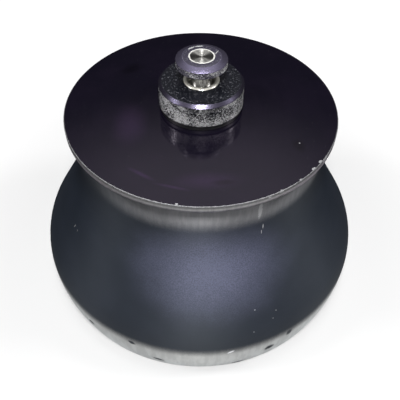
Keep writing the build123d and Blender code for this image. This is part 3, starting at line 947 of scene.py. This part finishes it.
@dataclass
class Bell:
    """The rotor body with what is fixed in it: hub, screws, pins, speed ring and lid stud.

    Attributes:
        belly_height: Height at which the body is widest, in millimetres.
        neck_radius: Outer radius of the body under the lid, in millimetres.
        rim_height: Height of the body's rim, in millimetres.
        stud_thread: Thread that the lid is screwed on.
        chips_and_painted_highlight: Marks worn to pale metal, and one tall faint mark on the neck that is a
            painted highlight.
        pale_film_and_painted_sheen: Painted sheen on the front of the film, where the front light falls on
            it.
        dents: Small knocks on the belly and the foot.
    """

    belly_height: float = 26.0
    neck_radius: float = 80.0
    rim_height: float = 132.5
    stud_thread: Thread = Thread(radius=10.0, low=102.0, high=111.0)
    chips_and_painted_highlight: tuple[Mark, ...] = (
        Mark((21.4, -112.9, 27.7), (3.2, 3.0, 1.1), (0.0, -28.0, 10.7)),
        Mark((-74.4, -87.4, 21.3), (1.6, 2.0, 1.0), (0.0, 0.0, -40.0), 0.8),
        # Painted highlight: this tall faint mark is the right lamp's reflection on the neck, drawn as pale
        # metal.
        Mark((33.9, -72.5, 121.5), (1.5, 2.0, 9.0), (0.0, 0.0, 25.0), 0.45),
        Mark((37.0, -71.3, 105.5), (0.35, 0.8, 2.2), (0.0, 0.0, 27.0), 0.8),
        Mark((36.4, -72.2, 101.2), (0.3, 0.8, 1.8), (0.0, 0.0, 27.0), 0.5),
        Mark((-82.8, -45.9, 71.5), (0.3, 0.8, 2.4), (0.0, 12.0, -61.0), 0.6),
        Mark((-80.2, -49.6, 70.5), (0.25, 0.8, 1.5), (0.0, -10.0, -58.0), 0.5),
        Mark((35.2, -97.9, 55.3), (0.5, 0.8, 0.4), (0.0, 0.0, 20.0), 0.5),
        Mark((49.1, -95.0, 50.4), (0.4, 0.8, 0.5), (0.0, 0.0, 27.0), 0.4),
        Mark((47.4, -98.5, 46.5), (0.5, 0.8, 0.3), (0.0, 0.0, 26.0), 0.4),
        Mark((35.3, -105.9, 41.8), (0.4, 0.8, 0.4), (0.0, 0.0, 18.0), 0.5),
    )
    # Painted sheen: the front of the bell is drawn paler where the front light falls.
    pale_film_and_painted_sheen: tuple[Mark, ...] = (
        Mark((8.0, -92.0, 83.0), (66.0, 60.0, 42.0), (0.0, 0.0, 0.0), 1.0),
    )
    dents: tuple[Mark, ...] = (
        Mark((-73.2, -88.3, 18.4), (3.4, 3.0, 3.0), (0.0, 0.0, -40.0)),
        Mark((-43.2, -106.5, 26.0), (3.2, 3.0, 2.8), (0.0, 0.0, -22.0)),
        Mark((-26.1, -110.4, 10.0), (5.0, 3.0, 2.8), (0.0, 20.0, -13.0)),
        Mark((27.1, -108.3, 3.2), (6.0, 3.0, 3.2), (0.0, -8.0, 14.0)),
        Mark((47.7, -104.1, 17.0), (4.6, 3.0, 4.4), (0.0, 0.0, 24.0)),
        Mark((60.3, -97.7, 26.5), (3.2, 3.0, 4.4), (0.0, 0.0, 32.0), 0.9),
    )

    def finish(self) -> bpy.types.Material:
        """Satin black film, worn thin round the neck and the foot, and knocked low down, with painted sheen
        on its front and on the front of its neck.

        Returns:
            The bell's material.
        """
        # The neck is worn most towards the front: partly real wear, partly painted sheen where the front
        # light falls on it.
        neck = WornBand(
            low=114.0, high=self.rim_height + 5.0, soft=13.0, metal=(0.29, 0.29, 0.3), streak=0.2,
            wear_and_painted_sheen_side=(0.34, -0.94, 0.0),
        )
        foot = WornBand(
            low=-8.0, high=self.belly_height + 2.0, soft=10.0, metal=(0.53, 0.53, 0.515), streak=0.15,
            inside=104.0,
        )
        return Anodised(
            name="bell_anodising",
            deep=(0.008, 0.011, 0.018),
            rubbed=(0.017, 0.021, 0.032),
            pale_film_and_sheen_colour=(0.094, 0.099, 0.155),
            roughness=0.62,
            worn_roughness=0.4,
            ior=1.5,
            tint=(0.84, 0.92, 1.0),
            anisotropy=0.88,
            pitch=0.8,
            groove=0.003,
            bare_edges=((self.neck_radius, self.rim_height, 0.5),),
            chips_and_painted_highlight=self.chips_and_painted_highlight,
            pale_film_and_painted_sheen=self.pale_film_and_painted_sheen,
            dents=self.dents,
            bands=(neck, foot),
        ).build()

    def build(self, nodes: dict[str, bpy.types.Object]) -> None:
        """Build and dress the pieces.

        Args:
            nodes: CAD nodes by name.
        """
        steel = Turned("hub_steel", (0.6, 0.6, 0.58), 0.24).build()
        screw = fastener_steel("screw_steel")
        put(refined(nodes["rotor_body"], "bell"), "rotor", Slot.BODY, self.finish(), "rotor_body")
        put(refined(nodes["spindle_adapter"], "hub"), "rotor", Slot.STEEL, steel, "spindle_adapter")
        put(refined(nodes["adapter_screws"], "hub_screws"), "rotor", Slot.SCREW, screw, "adapter_screws")
        put(refined(nodes["drive_pins"], "hub_pins"), "rotor", Slot.SCREW, screw, "drive_pins")
        stud = refined(nodes["lid_stud"], "stud", thread=self.stud_thread)
        put(stud, "rotor", Slot.STEEL, steel, "lid_stud")
        film = SectorFilm("speed_film").build()
        put(refined(nodes["speed_ring"], "speed_film_ring"), "rotor", Slot.FILM, film, "speed_ring")


@dataclass
class Lid:
    """The flat lid with its rubber seal.

    Attributes:
        radius: Radius of the lid, in millimetres.
        top: Height of its top face, in millimetres.
        nicks: Chips in its edge and one in its face, down to pale metal.
        scuffs_and_painted_glare: Paler patches: two thin rubbed scuff lines, and broad patches of painted
            glare at the front and left.
        smudges: Darker patches.
    """

    radius: float = 85.0
    top: float = 137.5
    nicks: tuple[Mark, ...] = (
        Mark((37.2, -76.4, 136.2), (1.3, 1.0, 0.6), (0.0, 10.0, 26.0), 0.9),
        Mark((43.8, -72.6, 137.1), (1.6, 1.0, 0.7), (0.0, 0.0, 31.0), 0.9),
        Mark((54.9, -64.4, 137.3), (1.2, 0.8, 0.7), (0.0, 0.0, 40.0), 0.8),
        Mark((62.9, -55.9, 137.5), (1.6, 0.8, 0.8), (0.0, 0.0, 48.0), 0.9),
        Mark((67.5, -50.1, 137.5), (1.5, 0.9, 0.8), (0.0, 0.0, 53.0), 0.9),
        Mark((71.0, -46.5, 136.3), (3.6, 1.0, 1.2), (0.0, 0.0, 57.0), 0.8),
        Mark((-12.0, -83.1, 137.5), (0.9, 0.6, 0.6), (0.0, 0.0, -8.0), 1.0),
        Mark((57.6, -34.8, 137.5), (0.45, 0.45, 0.5), (0.0, 0.0, 0.0), 0.9),
    )
    # The two thin marks are rubbed scuff lines; the broad front and left patches are painted glare of the
    # front light and the left lamp.
    scuffs_and_painted_glare: tuple[Mark, ...] = (
        Mark((-32.0, -62.0, 137.5), (12.0, 2.0, 3.0), (0.0, 0.0, -32.0), 0.8),
        Mark((-15.0, -71.0, 137.5), (14.0, 1.6, 3.0), (0.0, 0.0, -14.0), 0.7),
        Mark((4.0, -66.0, 137.5), (26.0, 9.0, 3.0), (0.0, 0.0, 4.0), 0.5),
        Mark((-42.0, -20.0, 137.5), (14.0, 26.0, 3.0), (0.0, 0.0, 0.0), 0.5),
    )
    smudges: tuple[Mark, ...] = (
        Mark((-48.3, 36.0, 137.5), (12.0, 7.0, 3.0), (0.0, 0.0, 30.0), 0.6),
        Mark((57.0, -37.0, 137.5), (5.0, 8.0, 3.0), (0.0, 0.0, 20.0), 0.7),
        Mark((13.5, -66.9, 137.5), (9.0, 3.0, 3.0), (0.0, 0.0, 6.0), 0.6),
    )

    def finish(self) -> bpy.types.Material:
        """Smooth violet-black film with a bright worn edge, scuffed patches and painted glare.

        Returns:
            The lid's material.
        """
        rim = WornBand(
            low=self.top - 20.0, high=self.top - 0.6, soft=0.3, metal=(0.33, 0.33, 0.33), streak=0.3
        )
        return Anodised(
            name="lid_anodising",
            deep=(0.0034, 0.0028, 0.0064),
            rubbed=(0.0075, 0.0052, 0.0115),
            pale_film_and_sheen_colour=(0.02, 0.011, 0.03),
            roughness=0.11,
            worn_roughness=0.36,
            ior=1.55,
            tint=(0.96, 0.84, 1.0),
            anisotropy=0.0,
            pitch=0.5,
            groove=0.0006,
            bare_edges=((self.radius, self.top, 0.55),),
            chips_and_painted_highlight=self.nicks,
            pale_film_and_painted_sheen=self.scuffs_and_painted_glare,
            smudges=self.smudges,
            bands=(rim,),
        ).build()

    def build(self, nodes: dict[str, bpy.types.Object]) -> None:
        """Build and dress the pieces.

        Args:
            nodes: CAD nodes by name.
        """
        put(refined(nodes["lid_plate"], "lid"), "lid", Slot.LID, self.finish(), "lid_plate")
        seal = refined(nodes["lid_seal"], "lid_ring_seal", 60.0)
        put(seal, "lid", Slot.RUBBER, black_rubber("seal_rubber"), "lid_seal")


@dataclass
class KnurledKnob:
    """A hand knob turned from an outline, with a diamond knurl cut in its rim.

    Attributes:
        name: Name of the piece.
        node: CAD node that gives its place and size.
        bore: Radius of its bore, in millimetres.
        chamfer: Width of the chamfer at its top, measured inwards.
        chamfer_drop: Height of that chamfer.
        foot: Width and height of the chamfer at its bottom.
        dish_radius: Radius of the hollow in its underside, or the bore's for none.
        dish: Depth of that hollow.
        teeth: Diamonds round the rim.
        depth: Depth of the knurl's grooves.
        cells: Facets across one diamond.
    """

    name: str
    node: str
    bore: float
    chamfer: float
    chamfer_drop: float
    foot: float
    dish_radius: float
    dish: float
    teeth: int
    depth: float
    cells: int = 6

    @cached_property
    def radius(self) -> float:
        """Radius over the crests, in millimetres."""
        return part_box(self.node)[1].x / mm(1)

    @cached_property
    def bottom(self) -> float:
        """Height of its underside, in millimetres."""
        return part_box(self.node)[0].z / mm(1)

    @cached_property
    def top(self) -> float:
        """Height of its top face, in millimetres."""
        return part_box(self.node)[1].z / mm(1)

    @property
    def knurl_low(self) -> float:
        """Height of the knurl's lower end."""
        return self.bottom + self.foot + 0.3

    @property
    def knurl_high(self) -> float:
        """Height of the knurl's upper end."""
        return self.top - self.chamfer_drop - 0.2

    @property
    def rows(self) -> int:
        """Rows of facets, as high as they are wide, one above the other."""
        width = math.tau * self.radius / (self.teeth * self.cells)
        return round((self.knurl_high - self.knurl_low) / width)

    def outline(self) -> list[tuple[float, float]]:
        """Half section of the knob, with a corner on each row of the knurl.

        Returns:
            Radius and height of each corner, in millimetres.
        """
        radius, bottom, top = self.radius, self.bottom, self.top
        low, step = self.knurl_low, (self.knurl_high - self.knurl_low) / self.rows
        points = [(self.bore, bottom + self.dish)]
        if self.dish > 0:
            points += [(self.dish_radius, bottom + self.dish), (self.dish_radius, bottom)]
        points += [(radius - self.foot, bottom), (radius, bottom + self.foot)]
        points += [(radius, low + step * i) for i in range(self.rows + 1)]
        points += [(radius, top - self.chamfer_drop), (radius - self.chamfer, top), (self.bore, top)]
        return points

    def build(self) -> bpy.types.Object:
        """Build the knob: two sets of slanting grooves cross on its rim and leave flat diamonds.

        Returns:
            The finished object.
        """
        turns, radius, rows, low = self.teeth * self.cells, self.radius, self.rows, self.knurl_low
        step = (self.knurl_high - low) / rows
        bm = sweep_round(self.outline(), turns)
        shrink = (radius - self.depth) / radius
        for vert in bm.verts:
            out = math.hypot(vert.co.x, vert.co.y)
            level = round((vert.co.z / mm(1) - low) / step)
            if abs(out - mm(radius)) > mm(0.01) or not 0 < level < rows:
                continue
            turn = round(math.atan2(vert.co.y, vert.co.x) / math.tau * turns)
            if (turn + level) % self.cells == 0 or (turn - level) % self.cells == 0:
                vert.co.x *= shrink
                vert.co.y *= shrink
        return settle(bm, self.name, 22.0)


@dataclass
class LidKnobGroup:
    """The large knob, its steel stem and the rings that turn with them.

    Attributes:
        knob: The large knob.
        plain_patch: Stretch of its knurl where the film is left.
        matt_rim: Inner radius of the scratched rim at the stem's top, in millimetres.
    """

    knob: KnurledKnob = field(default_factory=lambda: KnurledKnob(
        name="large_knob", node="lid_knob", bore=11.0, chamfer=1.8, chamfer_drop=1.8,
        foot=0.6, dish_radius=21.0, dish=3.0, teeth=110, depth=0.3,
    ))
    plain_patch: Mark = Mark((5.2, -25.5, 151.5), (6.0, 4.0, 5.0), (0.0, 0.0, 12.0), 0.7)
    matt_rim: float = 8.5

    def build(self, nodes: dict[str, bpy.types.Object]) -> None:
        """Build and dress the pieces.

        Args:
            nodes: CAD nodes by name.
        """
        body = "lid_knob_group"
        worn = WornKnurl(
            name="large_knob_anodising", deep=(0.0055, 0.006, 0.0085), crest=self.knob.radius,
            valley=self.knob.radius - self.knob.depth, low=self.knob.knurl_low, high=self.knob.knurl_high,
            face=self.knob.top, wear=0.8, dull=(self.plain_patch,),
        ).build()
        stem_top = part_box("lid_stem")[1].z / mm(1)
        steel = Turned(
            "stem_steel", (0.8, 0.78, 0.7), 0.36, 0.7, matt_rim=self.matt_rim, rim_height=stem_top - 0.1
        ).build()
        screw, rubber = fastener_steel("pin_steel"), black_rubber("stem_rubber")
        plastic = Moulded("ring_plastic", (0.01, 0.01, 0.011), 0.34).build()
        bronze = Turned("washer_bronze", (0.5, 0.33, 0.14), 0.32).build()
        put(self.knob.build(), body, Slot.KNOB, worn, "lid_knob")
        put(refined(nodes["lid_stem"], "stem"), body, Slot.STEEL, steel, "lid_stem")
        put(refined(nodes["knob_pins"], "stem_pins"), body, Slot.SCREW, screw, "knob_pins")
        put(refined(nodes["slip_ring"], "turning_ring"), body, Slot.PLASTIC, plastic, "slip_ring")
        put(refined(nodes["thrust_washer"], "bearing_washer"), body, Slot.BRONZE, bronze, "thrust_washer")
        put(refined(nodes["stem_seal"], "stem_ring_seal", 60.0), body, Slot.RUBBER, rubber, "stem_seal")


@dataclass
class LockScrewGroup:
    """The small knob and the long screw that it turns, with the washer, ring and seal on it.

    Attributes:
        knob: The small knob.
        scars_and_painted_glare: Marks on its top drawn as bare metal: a rubbed scar at the right, and painted
            glare along the chamfer's edge at the back left.
        thread: Thread at the screw's lower end.
        matt_rim: Inner radius of the scratched rim of the screw's head, in millimetres.
        recess_radius: Radius of the hollow in the screw's head, in millimetres.
        recess_depth: Depth within which that hollow lies, in millimetres.
        recess_share: Share of the hollow's depth that the dish keeps.
    """

    knob: KnurledKnob = field(default_factory=lambda: KnurledKnob(
        name="small_knob", node="lock_knob", bore=7.7, chamfer=4.0, chamfer_drop=1.6,
        foot=0.5, dish_radius=7.7, dish=0.0, teeth=72, depth=0.25,
    ))
    scars_and_painted_glare: tuple[Mark, ...] = (
        # The first two marks, at the back left, are painted glare along the chamfer's edge, drawn as bare
        # metal; the thin one at the right is a rubbed scar.
        Mark((-6.3, 8.3, 172.1), (2.6, 0.7, 1.0), (0.0, 0.0, 38.0), 0.8),
        Mark((-1.6, 10.3, 172.1), (3.0, 0.7, 1.0), (0.0, 0.0, 8.0), 0.9),
        Mark((8.6, 3.9, 172.1), (0.35, 2.4, 1.0), (0.0, 0.0, -28.0), 0.6),
    )
    thread: Thread = Thread(radius=5.0, low=52.0, high=67.3, depth=0.6)
    matt_rim: float = 6.9
    recess_radius: float = 7.0
    recess_depth: float = 4.0
    recess_share: float = 0.2

    def build(self, nodes: dict[str, bpy.types.Object]) -> None:
        """Build and dress the pieces.

        Args:
            nodes: CAD nodes by name.
        """
        body = "lock_screw_group"
        worn = WornKnurl(
            name="small_knob_anodising", deep=(0.034, 0.031, 0.046), crest=self.knob.radius,
            valley=self.knob.radius - self.knob.depth, low=self.knob.knurl_low, high=self.knob.knurl_high,
            face=self.knob.top, wear=0.6, dust=0.4, scars_and_painted_glare=self.scars_and_painted_glare, chamfer_sheen=0.4,
        ).build()
        steel = Turned(
            "lock_steel", (0.76, 0.75, 0.71), 0.32, 0.9,
            matt_rim=self.matt_rim, rim_height=self.knob.top - 0.3,
        ).build()
        screw, rubber = fastener_steel("lock_pin_steel"), black_rubber("lock_rubber")
        washer_steel = Turned("lock_washer_steel", (0.5, 0.5, 0.49), 0.3).build()
        put(self.knob.build(), body, Slot.LOCK_KNOB, worn, "lock_knob")
        screw_piece = refined(nodes["lock_screw"], "long_screw", thread=self.thread)
        self.dish_head(screw_piece)
        put(screw_piece, body, Slot.STEEL, steel, "lock_screw")
        put(refined(nodes["lock_pins"], "screw_pins"), body, Slot.SCREW, screw, "lock_pins")
        put(refined(nodes["lock_ring"], "keeper_ring"), body, Slot.SCREW, screw, "lock_ring")
        put(refined(nodes["lock_seal"], "screw_ring_seal", 60.0), body, Slot.RUBBER, rubber, "lock_seal")
        washer = refined(nodes["lock_washer"], "screw_washer")
        put(washer, "lock_washer_group", Slot.STEEL, washer_steel, "lock_washer")

    def dish_head(self, screw: bpy.types.Object) -> None:
        """Make the hollow in the screw's head a shallow dish.

        Args:
            screw: The long screw's piece, whose mesh is changed.
        """
        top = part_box("lock_screw")[1].z
        for vert in screw.data.vertices:
            out = math.hypot(vert.co.x, vert.co.y)
            if out < mm(self.recess_radius) and vert.co.z > top - mm(self.recess_depth):
                vert.co.z = top - (top - vert.co.z) * self.recess_share


# --------------------------------------------------------------------- studio


@dataclass(frozen=True)
class Lamp:
    """A square soft lamp that points at one place.

    Attributes:
        name: Name of the lamp.
        place: Where it stands, in metres.
        aim: What it points at, in metres.
        side: Length of its side, in metres.
        power: Power in watts.
    """

    name: str
    place: tuple[float, float, float]
    aim: tuple[float, float, float]
    side: float
    power: float

    def build(self) -> None:
        """Add the lamp to the scene."""
        data = bpy.data.lights.new(self.name, "AREA")
        data.shape = "SQUARE"
        data.size = self.side
        data.energy = self.power
        lamp = bpy.data.objects.new(self.name, data)
        lamp.location = self.place
        lamp.rotation_mode = "QUATERNION"
        lamp.rotation_quaternion = (Vector(self.aim) - Vector(self.place)).to_track_quat("-Z", "Y")
        bpy.context.scene.collection.objects.link(lamp)


@dataclass
class Studio:
    """Pale floor with a painted shadow round the base and a painted pool of light in gloss, a room that is
    bright in front and dim behind, and soft lamps.

    Attributes:
        floor_side: Side of the floor, in metres.
        floor_colour: Grey of the floor sheet.
        painted_shadow_lift: Light added to the floor near the object, where it is looked at; it is less than
            far off, which paints a shadow round the base.
        floor_far_lift: Light added to the floor far away from it.
        painted_shadow_reach: Distances between which one passes into the other, the width of the painted
            shadow, in metres.
        floor_gap: Gap between the floor and the object's base, in millimetres.
        painted_pool_place: Middle of a pool of light painted on the floor, which only gloss shows, in metres.
        painted_pool_core: Distance up to which that painted pool is at its full level, in metres.
        painted_pool_reach: Distance at which that painted pool has faded, in metres.
        painted_pool_levels: Level of the floor in gloss, far off and in the painted pool.
        front_level: Level of the room in front.
        back_level: Level of the light high up before and behind the rotor.
        ceiling_levels: Level of the room's dark walls and of its ceiling.
        room_colour: Colour of the room's light.
        lamps: The lamps.
    """

    floor_side: float = 6.0
    floor_colour: float = 0.37
    painted_shadow_lift: float = 0.44
    floor_far_lift: float = 0.7
    painted_shadow_reach: tuple[float, float] = (0.12, 0.35)
    floor_gap: float = 0.2
    painted_pool_place: tuple[float, float, float] = (0.03, -0.13, 0.0)
    painted_pool_core: float = 0.03
    painted_pool_reach: float = 0.34
    painted_pool_levels: tuple[float, float] = (0.03, 1.0)
    front_level: float = 0.62
    back_level: float = 0.6
    ceiling_levels: tuple[float, float] = (0.02, 0.3)
    room_colour: Colour = (0.98, 0.98, 1.0)
    lamps: tuple[Lamp, ...] = (
        Lamp("left_box", (-0.9, -0.1, 1.06), (0.0, 0.0, 0.1), 0.24, 5.5),
        Lamp("right_box", (0.9, 0.06, 1.06), (0.0, 0.0, 0.1), 0.26, 6.5),
        Lamp("overhead", (0.0, 0.02, 1.5), (0.0, 0.0, 0.1), 0.35, 5.0),
        Lamp("front_flash", (0.0, -0.25, 0.52), (0.0, 0.0, 0.1), 0.07, 2.1),
    )

    def build(self) -> None:
        """Add the floor, the world and the lamps."""
        self.build_floor()
        self.build_world()
        for lamp in self.lamps:
            lamp.build()

    def build_floor(self) -> None:
        """Add the floor, a pale sheet that shows the object's shadow, darkened round the base by a painted
        shadow.
        """
        bm = bmesh.new()
        bmesh.ops.create_grid(bm, x_segments=1, y_segments=1, size=self.floor_side / 2)
        mesh = bpy.data.meshes.new("floor")
        bm.to_mesh(mesh)
        bm.free()
        floor = bpy.data.objects.new("floor", mesh)
        floor.location.z = -mm(self.floor_gap)
        bpy.context.scene.collection.objects.link(floor)
        mesh.materials.append(self.floor_material())

    def floor_material(self) -> bpy.types.Material:
        """Build the floor's material.

        Returns:
            Pale sheet, lifted to white where it is looked at but less near the object as a painted shadow,
            and in gloss a painted pool of light that fades away from its middle.
        """
        graph = Graph(bpy.data.materials.new("floor_sheet"))
        graph.owner.cycles.emission_sampling = "NONE"
        sheet = graph.named("ShaderNodeBsdfDiffuse", Color=grey(self.floor_colour))
        # Less light is added near the object than far off: a painted shadow round its base.
        level = graph.step(graph.radius, *self.painted_shadow_reach, self.painted_shadow_lift, self.floor_far_lift)
        lift = graph.named("ShaderNodeEmission", Strength=graph.times(graph.looked_at, level))
        lit = graph.fed("ShaderNodeAddShader", (sheet, lift)).outputs[0]
        # In gloss the floor shows a painted pool of light in front of the object, which fades with distance.
        away = graph.vector("DISTANCE", graph.place, self.painted_pool_place)
        painted_pool_level = graph.step(away, self.painted_pool_reach, self.painted_pool_core, *self.painted_pool_levels)
        painted_pool_glow = graph.named("ShaderNodeEmission", Strength=painted_pool_level)
        in_gloss = graph.path.outputs["Is Glossy Ray"]
        both = graph.fed("ShaderNodeMixShader", (in_gloss, lit, painted_pool_glow)).outputs[0]
        graph.close("ShaderNodeOutputMaterial", both)
        return graph.owner

    def build_world(self) -> None:
        """Add the surroundings: pale where the camera looks, else a room bright in front and above."""
        graph = Graph(bpy.data.worlds.new("studio"), "Generated")
        front = graph.times(
            graph.step(graph.y, -0.75, -0.1, self.front_level, 0.0), graph.step(graph.z, 0.2, 0.6, 1.0, 0.15)
        )
        aside = graph.math("ABSOLUTE", graph.x)
        back = graph.times(
            graph.step(graph.z, 0.58, 0.74, 0.0, self.back_level), graph.step(aside, 0.1, 0.4, 1.0, 0.25)
        )
        overhead = graph.step(graph.z, 0.75, 0.95, *self.ceiling_levels)
        level = graph.plus(front, graph.most(back, overhead))
        room = graph.named("ShaderNodeBackground", Strength=level, Color=self.room_colour)
        pale = graph.named("ShaderNodeBackground")
        both = graph.fed("ShaderNodeMixShader", (graph.looked_at, room, pale)).outputs[0]
        graph.close("ShaderNodeOutputWorld", both)
        bpy.context.scene.world = graph.owner


@dataclass(frozen=True)
class Viewpoint:
    """The camera, in front of the rotor and looking down on its lid.

    Attributes:
        distance: Horizontal distance from the spin axis, in millimetres.
        height: Height above the base, in millimetres.
        sideways: Offset to the right, in millimetres.
        pitch: Angle below the horizontal, in degrees.
        roll: Turn about the line of sight, in degrees.
        focal_pixels: Focal length in pixels of a frame of frame_pixels.
        frame_pixels: Width of the frame in pixels.
        sensor: Width of the sensor, in millimetres.
        near: Distance at which the view starts, in millimetres.
    """

    distance: float = 255.1
    height: float = 335.6
    sideways: float = 0.15
    pitch: float = 48.54
    roll: float = 0.8
    focal_pixels: float = 506.0
    frame_pixels: float = 400.0
    sensor: float = 36.0
    near: float = 10.0

    def build(self) -> None:
        """Add the camera and make it the scene's own."""
        data = bpy.data.cameras.new("view")
        data.sensor_width = self.sensor
        data.lens = self.focal_pixels / self.frame_pixels * self.sensor
        data.clip_start = mm(self.near)
        camera = bpy.data.objects.new("view", data)
        camera.location = (mm(self.sideways), -mm(self.distance), mm(self.height))
        tilt = Euler((math.radians(90.0 - self.pitch), 0.0, 0.0)).to_matrix()
        turn = Matrix.Rotation(math.radians(self.roll), 3, "Z")
        camera.rotation_euler = (tilt @ turn).to_euler()
        bpy.context.scene.collection.objects.link(camera)
        bpy.context.scene.camera = camera


def main() -> None:
    """Load the frame, build every sub-assembly in order, then the studio and the camera."""
    logging.basicConfig(level=logging.INFO, format="%(name)s: %(message)s")
    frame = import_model()
    nodes = frame["nodes"]
    Viewpoint().build()
    for group in (Bell(), Lid(), LidKnobGroup(), LockScrewGroup()):
        group.build(nodes)
    Studio().build()
    bpy.context.scene.view_settings.view_transform = "Standard"


if __name__ == "__main__":
    main()
